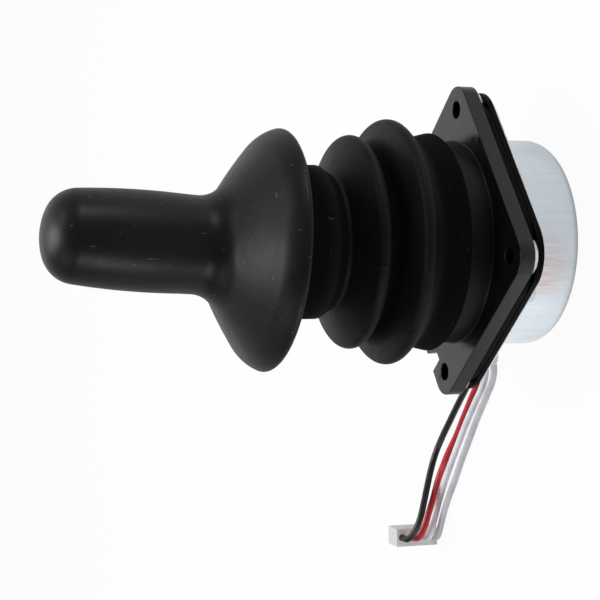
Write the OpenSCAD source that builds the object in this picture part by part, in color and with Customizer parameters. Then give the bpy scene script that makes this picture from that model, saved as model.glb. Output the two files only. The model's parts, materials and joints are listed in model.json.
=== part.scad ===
// Wheelchair joystick: a two-axis sprung lever on a square mounting plate, with a drawn can and four wires.
// Millimetres. +Z runs up the lever, the origin is the middle of the can's underside.

/* [Can] */
// from the plate's edge to the can's wall, at the middle of a side
flange_w = 2.8; // [2.4:0.05:3.4]
// how far the can's flange stands back from the plate's edge
flange_inset = 0.4; // [0.2:0.05:0.6]
// how far the flange's corners are cut back
flange_cut = 1.8; // [1:0.1:2.4]
// sheet thickness of the can
can_wall = 0.5; // [0.4:0.1:1]
// underside of the can to the top of its flange
can_depth = 13.4; // [13:0.05:15]
// outside radius round the can's bottom edge
can_edge_r = 3; // [1.5:0.5:4]

/* [Plate] */
// side of the square of mounting holes
hole_pitch = 38; // [36:0.5:42]
// mounting hole diameter
hole_d = 3.6; // [3:0.1:4.2]
// radius of the plate's corners, about the hole centres
corner_r = 4.75; // [4:0.25:6]
// thickness of the front plate
plate_t = 3.2; // [2.5:0.1:4]
// thickness of the seal under the front plate
gasket_t = 1.2; // [1:0.1:1.6]
// how far the seal's corners are cut back
gasket_cut = 2.6; // [2.2:0.1:3.2]
// thickness of the rear frame between seal and can flange
rear_t = 1.35; // [1:0.05:1.6]
// how far the rear frame's corners are cut back
rear_cut = 1.2; // [0.6:0.1:2]
// outside diameter of the plated spacers round the holes
spacer_d = 7.6; // [6.5:0.1:8]
// wall of the boss outside its screws
boss_land = 0.75; // [0.6:0.05:1.2]
// height of the boss above the plate
boss_h = 8; // [7.5:0.5:10]
// fillet at the foot of the boss
boss_fillet = 2.4; // [1:0.1:2.6]
// thickness of the boss's lid
lid_t = 1.4; // [1:0.1:1.6]
// depth of the keying notch in the plate edge
notch_depth = 4; // [2:0.25:5]
// width of the notch at its bottom
notch_w = 1.8; // [1:0.1:3]
// middle of the notch's bottom from the nearest hole's middle
notch_from_hole = 4.5; // [4:0.25:7]
// sideways run of the notch's slanting flank
notch_slant = 2.6; // [1:0.1:4]

/* [Gimbal] */
// largest tilt of each axis
tilt_deg = 18; // [10:1:20]
// height of the pivot centre above the plate's underside
pivot_rise = 2; // [1:0.25:3]
// diameter of the pivot pins
pin_d = 3; // [2.5:0.1:3.4]
// wall of the pivot bushes
bush_wall = 0.9; // [0.6:0.1:1.2]
// wall of the lever hub round the shaft
hub_wall = 2.5; // [2:0.1:3]
// height of the lever hub
hub_h = 9; // [8:0.5:10]
// height of the gimbal ring
ring_h = 7; // [6:0.25:7.5]
// wall of the gimbal housing
housing_wall = 3; // [2.5:0.1:3.2]
// wall of the housing's screws on their inner side
screw_land = 1; // [0.8:0.05:1.4]
// depth of the housing's clamping flange
housing_flange_h = 4; // [3:0.25:5]
// length of the housing below the plate
housing_drop = 6; // [5.5:0.25:7]
// diameter of the posts that carry the board
post_d = 4.2; // [3.6:0.1:5]

/* [Lever] */
// diameter of the lever shaft
shaft_d = 8; // [7:0.25:9]
// top end of the shaft above the plate face
shaft_top = 74; // [70:0.5:76]
// diameter of the turned-down lower end of the shaft
tail_d = 5; // [4:0.25:6]
// length of the turned-down lower end
tail_h = 2.6; // [2:0.1:3]
// underside of the collar above the plate face
collar_at = 34; // [33.5:0.25:35]
// thickness of the collar's rim
collar_h = 4; // [3:0.1:4.4]
// diameter of the spigot that centres the spring's top coil
spigot_d = 13.5; // [12:0.25:14]
// depth of that spigot
spigot_h = 2; // [1:0.1:3]
// thickness of the retaining clip
clip_t = 0.8; // [0.6:0.1:1]
// depth of the clip's groove in the shaft
clip_groove = 0.6; // [0.4:0.1:0.8]

/* [Spring] */
// wire diameter of the centring spring
spring_wire = 1.2; // [0.8:0.1:1.6]
// middle radius of the top coil
spring_top_r = 8; // [7.8:0.1:9]
// number of turns
spring_turns = 7; // [5:1:9]
// thickness of the washer under the spring
washer_t = 0.6; // [0.4:0.1:1]
// rim width of the washer
washer_w = 3.2; // [2.4:0.1:4]

/* [Knob] */
// diameter over the skirt's rim
rim_d = 48; // [44:0.5:52]
// largest diameter of the grip
grip_d = 19.7; // [18:0.1:22]
// rim's widest point above the plate face
rim_at = 39.6; // [39:0.2:42]
// top of the knob above the plate face
knob_top = 84.5; // [83:0.1:90]
// wall of the skirt
skirt_wall = 2.4; // [1.8:0.1:3]
// lean of the rubber knob on its shaft
knob_lean = 4; // [0:0.5:5]
// wall of the hard core inside the knob
core_wall = 2.2; // [1.5:0.1:2.6]

/* [Gaiter] */
// rubber thickness of the gaiter's foot and neck
gaiter_wall = 1.6; // [1.2:0.1:1.8]
// rubber thickness of its folds
fold_wall = 1.2; // [1:0.1:1.3]
// reach of the lower fold beyond the boss
fold_low_out = 4.2; // [3.6:0.1:5.4]
// reach of the upper fold beyond the boss
fold_high_out = 0.9; // [0.2:0.1:1.6]
// crest of the lower fold above the plate face
fold_low_at = 14.8; // [14.4:0.1:15.4]
// crest of the upper fold above the plate face
fold_high_at = 22.6; // [22.2:0.1:23.2]
// lower edge of the foot band above the plate face
foot_at = 5.3; // [4.5:0.1:6]
// diameter of the neck under the knob
neck_d = 30.6; // [30:0.2:33]
// foot of the neck above the plate face
neck_at = 30; // [29.5:0.1:31]

/* [Sensing] */
// thickness of the sensor board
board_t = 1.6; // [1:0.1:2]
// underside of the board above the can's underside
board_at = 3; // [2.6:0.1:3.4]
// gap between the board's edge and the can
board_gap = 2; // [1:0.1:2.5]
// diameter of the sensor magnet
magnet_d = 7; // [5:0.25:8]
// thickness of the sensor magnet
magnet_t = 2.6; // [2:0.1:3]
// wall of the magnet holder
holder_wall = 1.3; // [0.8:0.1:1.6]
// length of the magnet holder
holder_h = 5.4; // [5.1:0.1:5.6]
// distance of the sensors from the middle of the board
hall_ring_r = 6; // [5:0.25:8]
// height of a sensor's package
hall_h = 1.2; // [0.8:0.1:1.5]

/* [Wires] */
// diameter of each wire
wire_d = 1.5; // [1.2:0.05:1.6]
// spacing of the wires in the grommet
exit_pitch = 1.8; // [1.75:0.05:1.9]
// height of the wires where they leave the can
exit_z = 6; // [5.9:0.05:6.1]
// thickness of the grommet's flanges
grommet_lip = 1.1; // [0.8:0.1:1.2]
// height of the slot in the can wall
slot_h = 3.4; // [3:0.1:4]
// spacing of the wires in the connector
plug_pitch = 2.5; // [2.3:0.05:2.6]
// length of the connector housing
plug_l = 5; // [4.8:0.1:6]
// thickness of the connector housing
plug_t = 4.2; // [3.6:0.1:5]

/* [Fits] */
// radial clearance of pins in bushes
run_gap = 0.05; // [0.03:0.01:0.1]
// clearance between moving neighbours
move_gap = 0.4; // [0.3:0.1:0.8]
// clearance between fixed neighbours
seat_gap = 0.15; // [0.1:0.05:0.3]
// clearance of the lever in the lid at full tilt
lever_gap = 0.6; // [0.5:0.1:1]

/* [Hidden] */
$fn = 64;
eps = 0.01;
hole_off = hole_pitch / 2;
hole_r = hole_d / 2;
half_side = hole_off + corner_r;
corner_reach = hole_off * sqrt(2) + corner_r;
gasket_corner_r = rounder(gasket_cut);
rear_corner_r = rounder(rear_cut);
flange_corner_r = rounder(flange_cut);
notch_at = hole_off - notch_from_hole;
can_r = half_side - flange_w;
can_in_r = can_r - can_wall;
board_r = can_in_r - board_gap;
spacer_r = spacer_d / 2;
seal_z = can_depth + rear_t;
plate_z = seal_z + gasket_t;
face_z = plate_z + plate_t;
boss_top = face_z + boss_h;
pivot_z = plate_z + pivot_rise;
pin_r = pin_d / 2;
bush_in_r = pin_r + run_gap;
bush_r = bush_in_r + bush_wall;
shaft_r = shaft_d / 2;
tail_r = tail_d / 2;
hub_r = shaft_r + hub_wall;
hub_sweep = sqrt(hub_r * hub_r + hub_h * hub_h / 4);

// Screws: shank radius, head radius, head height
screw_r = 1;
screw_head_r = 1.8;
screw_head_h = 1.2;
house_screw_r = 0.9;
house_head_r = 1.5;
house_screw_bite = 6;
flange_screw_edge = 2.5;
flange_screw_x = hole_off * 0.55;
flange_screw_y = half_side - flange_screw_edge;
flange_screw_bite = 2.2;

// Gimbal radii, from the can's wall inwards
house_screw_at = can_in_r - seat_gap - house_head_r;
boss_r = house_screw_at + house_screw_r + boss_land;
housing_flange_r = can_in_r - 4 * seat_gap;
housing_r = house_screw_at - house_screw_r - screw_land;
boss_in_r = housing_r + seat_gap;
housing_in_r = housing_r - housing_wall;
ring_sweep = housing_in_r - 2 * move_gap;
ring_r = sqrt(ring_sweep * ring_sweep - ring_h * ring_h / 4);
ring_in_r = hub_sweep + move_gap;
ring_wall = ring_r - ring_in_r;
housing_foot = plate_z - housing_drop;
bush_inset = 0.2;
corner_tilt = acos(cos(tilt_deg) * cos(tilt_deg));
lid_hole_r = (boss_top - pivot_z) * tan(corner_tilt) + shaft_r / cos(corner_tilt) + lever_gap;
spring_foot_r = lid_hole_r + washer_w / 2;
post_at = housing_r - housing_wall / 2;
post_angles = [30, 150, 270];
post_screw_bite = 4.4;
board_top = board_at + board_t;
hall_l = 3;
hall_w = 4;
chip_w = 5;
chip_at = [hall_ring_r + 1, -hall_ring_r - chip_w];

// Lever heights
hub_foot = pivot_z - hub_h / 2;
shaft_end = hub_foot - tail_h;
shaft_tip = face_z + shaft_top;
collar_z = face_z + collar_at;
collar_top = collar_z + collar_h;
clip_z = collar_top;
clip_out = 2.4;
clip_in_r = shaft_r - clip_groove;
clip_r = shaft_r + clip_out;
holder_r = magnet_d / 2 + holder_wall;
core_r = shaft_r + core_wall;
core_foot = clip_z + clip_t + move_gap;
core_top = shaft_tip + core_wall;

// Gaiter radii
neck_r = neck_d / 2;
neck_in_r = neck_r - gaiter_wall;
collar_r = neck_in_r - seat_gap;
foot_r = boss_r + gaiter_wall;
low_r = boss_r + fold_low_out;
high_r = boss_r + fold_high_out;
foot_lip = 0.3;
foot_bead = 0.4;
foot_taper = 0.7;
foot_band_top = fold_low_at - 6.2;
foot_grip = 1;
crest_round = 1.4;
groove_round = 0.8;
valley_round = 1.2;
valley_at = [boss_r + 1.7, fold_low_at - 4.8];
groove_at = [high_r - 4.1, fold_low_at + 3.9];
neck_edge = 0.7;
neck_bead = 1;
throat_at = [neck_r - neck_edge, fold_high_at + 4.8];
gaiter_top = collar_top - face_z + gaiter_wall;
gaiter_seat = collar_top - face_z + seat_gap;
mouth_r = clip_r + 4;

// Knob outline
rim_r = rim_d / 2;
grip_r = grip_d / 2;
rim_round = 3.6;
rim_under = 2.3;
skirt_slope = 55.8;
lip_w = 3.6;
lip_edge = 0.5;
lip_drop = 2.9;
skirt_drop = 1.9;
skirt_inset = 1.2;
flare_r = 9;
flare_in = 0.2;
flare_z = rim_at + 16.4;
roof_out = 4.35;
roof_round = 1;
grip_z = knob_top - 20.5;
grip_round = 150;
grip_end = 5.4;
shoulder_round = 6.5;
shoulder_at = [grip_r - grip_round + (grip_round - shoulder_round) * cos(grip_end),
    grip_z + (grip_round - shoulder_round) * sin(grip_end)];
shoulder_rise = knob_top - shoulder_at[1];
dome_round = (shoulder_rise * shoulder_rise + shoulder_at[0] * shoulder_at[0]
    - shoulder_round * shoulder_round) / (2 * (shoulder_rise - shoulder_round));
dome_start = atan2(dome_round - shoulder_rise, shoulder_at[0]);
lean_z = face_z + knob_top - 22.6;
lean_dir = 50.6;

// Wire exit and connector
exit_az = 195;
wire_r = wire_d / 2;
wire_gap = 0.12;
exit_row = 3 * exit_pitch;
head_face = board_r - 3;
head_l = 3;
head_wall = 1.6;
plug_at = [-81.6, -22.6];
plug_turn = 140;
plug_first = 1.4;
plug_row = plug_first * 2 + 3 * plug_pitch;
plug_bore = 1.6;
contact_w = 1.2;
contact_l = 2.8;
contact_gap = 0.1;
latch_at = 2.2;
latch_l = 1.6;

// Middle of a wire at the can's exit and at the connector, a distance along its way
function exit_at(i, d) = let (s = (i - 1.5) * exit_pitch)
    [d * cos(exit_az) - s * sin(exit_az), d * sin(exit_az) + s * cos(exit_az), exit_z];
function way_at(i, d) = [plug_at[0] + d * cos(plug_turn), plug_at[1] + d * sin(plug_turn),
    plug_first + i * plug_pitch];

// A wire's whole route: out of the can, over hand-chosen points, into the connector
function route(i, free) = concat([for (d = [head_face - 1.5, can_r - 1, can_r + 3]) exit_at(i, d)],
    free, [for (d = [-1.3, plug_bore - contact_gap]) way_at(3 - i, d)]);

black_route = route(0, [[-28.5, -4.3, 3.9], [-33, -4.5, 2], [-37.6, -4.9, 0.8], [-42.9, -5.5, 0.8],
    [-49.8, -5.9, 0.8], [-56.8, -6.6, 0.9], [-62.3, -7.8, 1.4], [-66.1, -9.8, 2.3], [-68.7, -12.7, 3.4],
    [-70.5, -16, 4.6], [-71.9, -19.4, 5.9], [-73.7, -22.3, 7], [-76.4, -24.1, 8], [-79.1, -24.4, 8.8]]);
red_route = route(1, [[-28, -6.2, 3.8], [-33, -6.8, 1.8], [-37.9, -7.8, 0.8], [-43.9, -8.9, 0.8],
    [-50.8, -10.1, 0.8], [-56.8, -11.2, 0.8], [-61.8, -11.8, 0.9], [-66.1, -13.3, 1.4], [-69, -15.1, 2.1],
    [-71.4, -17.7, 3], [-73.7, -20.5, 4.2], [-76.2, -23, 5.2], [-78.7, -24.3, 6.1]]);
white_route = route(2, [[-27.5, -8.1, 3.6], [-32.5, -9, 1.6], [-37.2, -10, 0.8], [-42.9, -10.8, 0.8],
    [-49.8, -11.8, 0.8], [-56.8, -13.2, 0.8], [-62.8, -14.5, 0.8], [-68, -16, 0.9], [-72.1, -18, 1.3],
    [-75, -20.5, 2.1], [-76.9, -22.9, 3], [-78.9, -24.3, 3.6]]);
grey_route = route(3, [[-26, -10.1, 3.6], [-29.2, -10.9, 1.6], [-32.7, -11.9, 0.8], [-37.8, -13, 0.8],
    [-43.9, -14, 0.8], [-50.8, -15.5, 0.8], [-57.5, -17, 0.8], [-63.1, -18.5, 0.8], [-68.2, -20, 1],
    [-72.7, -21.9, 1.3], [-76.2, -23.7, 1.5], [-78.7, -24.4, 1.5]]);

// Points on an arc about a centre, from one angle to another
function arc(centre, r, a, b, n) = [for (i = [0:n]) let (w = a + (b - a) * i / n)
    [centre[0] + r * cos(w), centre[1] + r * sin(w)]];

// Corner radius that takes a square of the plate's size back by a distance at its corners
function rounder(cut) = (half_side * sqrt(2) - corner_reach + cut) / (sqrt(2) - 1);

function unit(v) = v / norm(v);

// One ring of a swept tube
function tube_ring(at, along, r, sides) =
    let (t = unit(along), s = unit(cross([0, 0, 1], t)), u = cross(t, s))
    [for (k = [0:sides - 1]) at + r * (cos(360 * k / sides) * s + sin(360 * k / sides) * u)];

module tube(route, r, sides = 8) {
    last = len(route) - 1;
    rings = [for (i = [0:last]) let (along = route[min(i + 1, last)] - route[max(i - 1, 0)])
        each tube_ring(route[i], along, r, sides)];
    walls = [for (i = [0:last - 1], k = [0:sides - 1])
        let (a = i * sides + k, b = i * sides + (k + 1) % sides)
        each [[a, a + sides, b], [b, a + sides, b + sides]]];
    caps = [[for (k = [0:sides - 1]) k], [for (k = [sides - 1:-1:0]) last * sides + k]];
    polyhedron(rings, concat(walls, caps));
}

module at_corners(d) {
    for (x = [-d, d], y = [-d, d])
        translate([x, y, 0]) children();
}

module at_flange_screws() {
    for (x = [-flange_screw_x, flange_screw_x], y = [-flange_screw_y, flange_screw_y])
        translate([x, y, 0]) children();
}

module plate_outline(r = corner_r) {
    flat = 2 * (half_side - r);
    square([2 * half_side, flat], center = true);
    square([flat, 2 * half_side], center = true);
    at_corners(half_side - r) circle(r = r);
}

// Puts its children at the wire exit, +X outwards along the middle wire
module at_exit(along) {
    rotate([0, 0, exit_az]) translate([along, 0, exit_z]) children();
}

module wire_bores(r, from, depth) {
    for (i = [0:3])
        at_exit(from) translate([0, (i - 1.5) * exit_pitch, 0]) rotate([0, 90, 0])
            cylinder(r = r, h = depth);
}

// Oblong block lying across the exit
module exit_block(grow, from, depth) {
    half = exit_row / 2;
    r = slot_h / 2 + grow;
    at_exit(from) {
        translate([0, -half, -r]) cube([depth, exit_row, 2 * r]);
        for (s = [-half, half])
            translate([0, s, 0]) rotate([0, 90, 0]) cylinder(r = r, h = depth);
    }
}

// Can and plate
module can() {
    floor_r = can_r - can_edge_r;
    in_edge = can_edge_r - can_wall;
    color([0.75, 0.77, 0.8]) difference() {
        union() {
            rotate_extrude() polygon(concat([[0, 0]], arc([floor_r, can_edge_r], can_edge_r, -90, 0, 8),
                [[can_r, can_depth - eps], [can_in_r, can_depth - eps]],
                arc([floor_r, can_edge_r], in_edge, 0, -90, 8), [[0, can_wall]]));
            translate([0, 0, can_depth - can_wall]) linear_extrude(can_wall) difference() {
                offset(delta = -flange_inset) plate_outline(flange_corner_r);
                circle(r = can_in_r);
            }
        }
        at_corners(hole_off) cylinder(r = hole_r, h = 2 * can_depth);
        at_flange_screws() cylinder(r = screw_r + seat_gap, h = 2 * can_depth);
        exit_block(seat_gap, can_in_r - 2, 4);
    }
}

// Outline of a layer under the plate: rounder corners, open over the can, with screw holes
module layer_outline(corner, corner_hole) {
    difference() {
        plate_outline(corner);
        circle(r = can_in_r);
        at_corners(hole_off) circle(r = corner_hole);
        at_flange_screws() circle(r = screw_r + seat_gap);
    }
}

module rear_frame() {
    color([0.06, 0.06, 0.06]) translate([0, 0, can_depth]) linear_extrude(rear_t)
        layer_outline(rear_corner_r, hole_r);
}

module flange_gasket() {
    color([0.1, 0.1, 0.1]) translate([0, 0, seal_z]) linear_extrude(gasket_t)
        layer_outline(gasket_corner_r, spacer_r + seat_gap);
}

module corner_spacers() {
    color([0.8, 0.8, 0.82]) at_corners(hole_off) translate([0, 0, seal_z]) difference() {
        cylinder(r = spacer_r, h = gasket_t);
        translate([0, 0, -1]) cylinder(r = hole_r, h = gasket_t + 2);
    }
}

module front_plate() {
    low = notch_at - notch_w / 2;
    high = notch_at + notch_w / 2;
    color([0.12, 0.12, 0.12]) difference() {
        union() {
            translate([0, 0, plate_z]) linear_extrude(plate_t) difference() {
                plate_outline();
                polygon([[-half_side + notch_depth, -high], [-half_side + notch_depth, -low],
                    [-half_side - 1, -low + notch_slant], [-half_side - 1, -high]]);
            }
            rotate_extrude() polygon(concat([[0, plate_z + 1], [boss_r + boss_fillet, plate_z + 1]],
                arc([boss_r + boss_fillet, face_z + boss_fillet], boss_fillet, 270, 180, 6),
                [[boss_r, boss_top], [0, boss_top]]));
        }
        translate([0, 0, plate_z - 1]) cylinder(r = boss_in_r, h = boss_top - lid_t - plate_z + 1);
        cylinder(r = lid_hole_r, h = boss_top + 1);
        at_corners(hole_off) cylinder(r = hole_r, h = boss_top);
        at_flange_screws() cylinder(r = screw_r, h = plate_z + flange_screw_bite);
        for (a = [45:90:315])
            rotate([0, 0, a]) translate([house_screw_at, 0, 0])
                cylinder(r = house_screw_r, h = plate_z + house_screw_bite);
    }
}

// A pan-head screw, its head's seat at the origin and its shank upwards
module screw(r, head_r, head_h, length) {
    cylinder(r = r, h = length);
    difference() {
        translate([0, 0, -head_h]) cylinder(r = head_r, h = head_h);
        for (a = [0, 90])
            rotate([0, 0, a]) translate([-head_r / 2, -head_r / 8, -head_h - 1])
                cube([head_r, head_r / 4, 1 + head_h / 2]);
    }
}

module flange_screws() {
    color([0.75, 0.75, 0.78]) at_flange_screws() translate([0, 0, can_depth - can_wall])
        screw(screw_r, screw_head_r, screw_head_h, can_wall + rear_t + gasket_t + flange_screw_bite);
}

// Gimbal
module gimbal_housing() {
    color([0.85, 0.85, 0.8]) difference() {
        union() {
            translate([0, 0, housing_foot])
                cylinder(r = housing_r, h = boss_top - lid_t - housing_foot - seat_gap);
            translate([0, 0, plate_z - housing_flange_h])
                cylinder(r = housing_flange_r, h = housing_flange_h);
            for (a = post_angles)
                rotate([0, 0, a]) translate([post_at, 0, board_top])
                    cylinder(d = post_d, h = housing_foot - board_top + 1);
        }
        translate([0, 0, housing_foot]) cylinder(r = housing_in_r, h = boss_top);
        translate([-housing_r - 1, 0, pivot_z]) rotate([0, 90, 0])
            cylinder(r = bush_r, h = 2 * housing_r + 2);
        for (a = [45:90:315])
            rotate([0, 0, a]) translate([house_screw_at, 0, 0])
                cylinder(r = house_screw_r + seat_gap, h = plate_z + 1);
        for (a = post_angles)
            rotate([0, 0, a]) translate([post_at, 0, 0])
                cylinder(r = screw_r, h = board_top + post_screw_bite);
    }
}

module housing_screws() {
    color([0.75, 0.75, 0.78])
        for (a = [45:90:315])
            rotate([0, 0, a]) translate([house_screw_at, 0, plate_z - housing_flange_h])
                screw(house_screw_r, house_head_r, screw_head_h, housing_flange_h + house_screw_bite);
}

module bush(from, length) {
    translate([from, 0, pivot_z]) rotate([0, 90, 0]) difference() {
        cylinder(r = bush_r, h = length);
        translate([0, 0, -1]) cylinder(r = bush_in_r, h = length + 2);
    }
}

module housing_bushes() {
    color([0.72, 0.5, 0.25])
        for (a = [0, 180])
            rotate([0, 0, a]) bush(housing_in_r + bush_inset, housing_wall - 3 * bush_inset);
}

module gimbal_ring() {
    color([0.7, 0.7, 0.68]) difference() {
        translate([0, 0, pivot_z - ring_h / 2]) cylinder(r = ring_r, h = ring_h);
        translate([0, 0, pivot_z - ring_h]) cylinder(r = ring_in_r, h = 2 * ring_h);
        translate([-ring_r - 1, 0, pivot_z]) rotate([0, 90, 0]) cylinder(r = pin_r, h = 2 * ring_r + 2);
        translate([0, ring_r + 1, pivot_z]) rotate([90, 0, 0]) cylinder(r = bush_r, h = 2 * ring_r + 2);
    }
}

module ring_pins() {
    color([0.8, 0.8, 0.82])
        for (a = [0, 180])
            rotate([0, 0, a]) translate([ring_in_r + bush_inset, 0, pivot_z]) rotate([0, 90, 0])
                cylinder(r = pin_r, h = housing_r - ring_in_r - 4 * bush_inset);
}

module ring_bushes() {
    color([0.72, 0.5, 0.25])
        for (a = [90, 270])
            rotate([0, 0, a]) bush(ring_in_r + bush_inset, ring_wall - 3 * bush_inset);
}

// Lever
module lever_hub() {
    color([0.3, 0.3, 0.32]) difference() {
        translate([0, 0, hub_foot]) cylinder(r = hub_r, h = hub_h);
        cylinder(r = shaft_r, h = 2 * pivot_z);
        translate([0, hub_r + 1, pivot_z]) rotate([90, 0, 0]) cylinder(r = pin_r, h = 2 * hub_r + 2);
    }
}

module lever_pin() {
    half = ring_r - 2 * bush_inset;
    color([0.8, 0.8, 0.82]) translate([0, half, pivot_z]) rotate([90, 0, 0])
        cylinder(r = pin_r, h = 2 * half);
}

module lever_shaft() {
    color([0.7, 0.7, 0.72]) difference() {
        union() {
            translate([0, 0, shaft_end]) cylinder(r = tail_r, h = tail_h + 1);
            translate([0, 0, hub_foot]) cylinder(r = shaft_r, h = shaft_tip - hub_foot - 1);
            translate([0, 0, shaft_tip - 1]) cylinder(r1 = shaft_r, r2 = shaft_r - 1, h = 1);
        }
        translate([0, shaft_d, pivot_z]) rotate([90, 0, 0]) cylinder(r = pin_r, h = 2 * shaft_d);
        translate([0, 0, clip_z]) difference() {
            cylinder(r = shaft_r + 1, h = clip_t);
            translate([0, 0, -1]) cylinder(r = clip_in_r, h = clip_t + 2);
        }
    }
}

module magnet_holder() {
    color([0.15, 0.15, 0.16]) translate([0, 0, hub_foot - holder_h]) difference() {
        cylinder(r = holder_r, h = holder_h);
        translate([0, 0, -1]) cylinder(d = magnet_d, h = magnet_t + 1);
        translate([0, 0, holder_h - tail_h]) cylinder(r = tail_r, h = tail_h + 1);
    }
}

module sensor_magnet() {
    color([0.6, 0.6, 0.62]) translate([0, 0, hub_foot - holder_h]) cylinder(d = magnet_d, h = magnet_t);
}

module gaiter_collar() {
    edge = 0.5;
    color([0.15, 0.15, 0.16]) difference() {
        rotate_extrude() polygon([[0, collar_z - spigot_h], [spigot_d / 2 - edge, collar_z - spigot_h],
            [spigot_d / 2, collar_z - spigot_h + edge], [spigot_d / 2, collar_z],
            [collar_r - edge, collar_z], [collar_r, collar_z + edge], [collar_r, collar_top - edge],
            [collar_r - edge, collar_top], [0, collar_top]]);
        cylinder(r = shaft_r, h = collar_top + 1);
    }
}

module collar_clip() {
    color([0.55, 0.56, 0.58]) translate([0, 0, clip_z]) difference() {
        cylinder(r = clip_r, h = clip_t);
        translate([0, 0, -1]) cylinder(r = clip_in_r, h = clip_t + 2);
        translate([0, -clip_in_r * 0.8, -1]) cube([2 * clip_r, clip_in_r * 1.6, clip_t + 2]);
    }
}

module spring_washer() {
    color([0.75, 0.75, 0.78]) translate([0, 0, boss_top]) difference() {
        cylinder(r = lid_hole_r + washer_w, h = washer_t);
        translate([0, 0, -1]) cylinder(r = lid_hole_r, h = washer_t + 2);
    }
}

module centring_spring() {
    foot = boss_top + washer_t + spring_wire / 2 + eps;
    top = collar_z - spring_wire / 2 - eps;
    steps = spring_turns * 18;
    coil = [for (i = [0:steps]) let (w = i / steps,
        climb = min(max((w * spring_turns - 1) / (spring_turns - 2), 0), 1),
        r = spring_foot_r + (spring_top_r - spring_foot_r) * climb, a = 360 * spring_turns * w)
        [r * cos(a), r * sin(a), foot + (top - foot) * (0.06 * w + 0.94 * climb)]];
    color([0.5, 0.5, 0.53]) tube(coil, spring_wire / 2);
}

// Rubber
module gaiter() {
    outside = concat([[boss_r, foot_at], [foot_r - foot_lip, foot_at], [foot_r, foot_at + foot_bead],
            [foot_r - foot_taper, foot_band_top]],
        arc(valley_at, valley_round, 215, 143, 4),
        arc([low_r - crest_round, fold_low_at], crest_round, -44, 76, 10),
        arc(groove_at, groove_round, 256, 128, 5),
        arc([high_r - crest_round, fold_high_at], crest_round, -60, 66, 10),
        arc(throat_at, groove_round, 246, 128, 5),
        arc([neck_r - neck_edge, neck_at], neck_edge, -50, 0, 4),
        arc([neck_r - neck_bead, gaiter_top - neck_bead], neck_bead, 0, 90, 4));
    inside = concat([[mouth_r, gaiter_top], [mouth_r, gaiter_seat], [neck_in_r, gaiter_seat],
            [neck_in_r, neck_at - neck_edge]],
        arc(throat_at, groove_round + fold_wall, 128, 246, 5),
        [[high_r - fold_wall, fold_high_at]],
        arc(groove_at, groove_round + fold_wall, 128, 256, 5),
        [[low_r - fold_wall, fold_low_at]],
        arc(valley_at, valley_round + fold_wall, 143, 180, 3),
        [[boss_r - foot_grip, boss_h + eps], [boss_r, boss_h + eps]]);
    color([0.08, 0.08, 0.08]) translate([0, 0, face_z]) rotate_extrude() polygon(concat(outside, inside));
}

module knob_core() {
    color([0.2, 0.2, 0.22]) difference() {
        translate([0, 0, core_foot]) cylinder(r = core_r, h = core_top - core_foot);
        translate([0, 0, core_foot - 1]) cylinder(r = shaft_r, h = shaft_tip - core_foot + 1);
    }
}

module knob() {
    slope_r = rim_r - rim_round + rim_round * cos(skirt_slope);
    slope_z = rim_at + rim_round * sin(skirt_slope);
    roof_r = grip_r + roof_out;
    roof_z = slope_z + (slope_r - roof_r) / tan(skirt_slope) - skirt_wall / sin(skirt_slope);
    outside = concat([[rim_r - lip_w, rim_at - rim_under + lip_edge],
            [rim_r - lip_w + lip_edge, rim_at - rim_under]],
        arc([rim_r - rim_under, rim_at], rim_under, -85, -8, 6),
        arc([rim_r - rim_round, rim_at], rim_round, 0, skirt_slope, 8),
        arc([grip_r - flare_in + flare_r, flare_z], flare_r, 180 + skirt_slope, 180, 10),
        arc([grip_r - grip_round, grip_z], grip_round, -2.6, grip_end, 8),
        arc(shoulder_at, shoulder_round, grip_end, dome_start, 7),
        arc([0, knob_top - dome_round], dome_round, dome_start, 90, 4));
    inside = [[0, roof_z], [roof_r - roof_round - skirt_wall, roof_z],
        [rim_r - skirt_wall - skirt_inset, slope_z - skirt_drop], [rim_r - lip_w, slope_z - lip_drop]];
    color([0.12, 0.12, 0.13]) difference() {
        translate([0, 0, lean_z]) rotate([0, 0, lean_dir]) rotate([0, knob_lean, 0])
            translate([0, 0, face_z - lean_z]) rotate_extrude() polygon(concat(outside, inside));
        cylinder(r = core_r, h = core_top);
    }
}

// Board and sensors
module sensor_board() {
    color([0.05, 0.35, 0.2]) translate([0, 0, board_at]) linear_extrude(board_t) difference() {
        circle(r = board_r);
        for (a = post_angles)
            rotate(a) translate([post_at, 0]) circle(r = screw_r + seat_gap);
    }
}

module board_screws() {
    color([0.75, 0.75, 0.78])
        for (a = post_angles)
            rotate([0, 0, a]) translate([post_at, 0, board_at])
                screw(screw_r, screw_head_r, screw_head_h, board_t + post_screw_bite);
}

module hall_sensors() {
    color([0.1, 0.1, 0.1])
        for (a = [0:90:270])
            rotate([0, 0, a]) translate([hall_ring_r - hall_l / 2, -hall_w / 2, board_top])
                cube([hall_l, hall_w, hall_h]);
}

module signal_chip() {
    color([0.08, 0.08, 0.08]) translate([chip_at[0], chip_at[1], board_top]) cube([chip_w, chip_w, hall_h]);
}

module wire_header() {
    half = exit_row / 2 + head_wall;
    top = 2 * (exit_z - board_top);
    color([0.9, 0.88, 0.8]) difference() {
        rotate([0, 0, exit_az]) translate([head_face - head_l, -half, board_top])
            cube([head_l, 2 * half, top]);
        wire_bores(wire_r + wire_gap, head_face - head_l + 1, head_l);
    }
}

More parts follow.
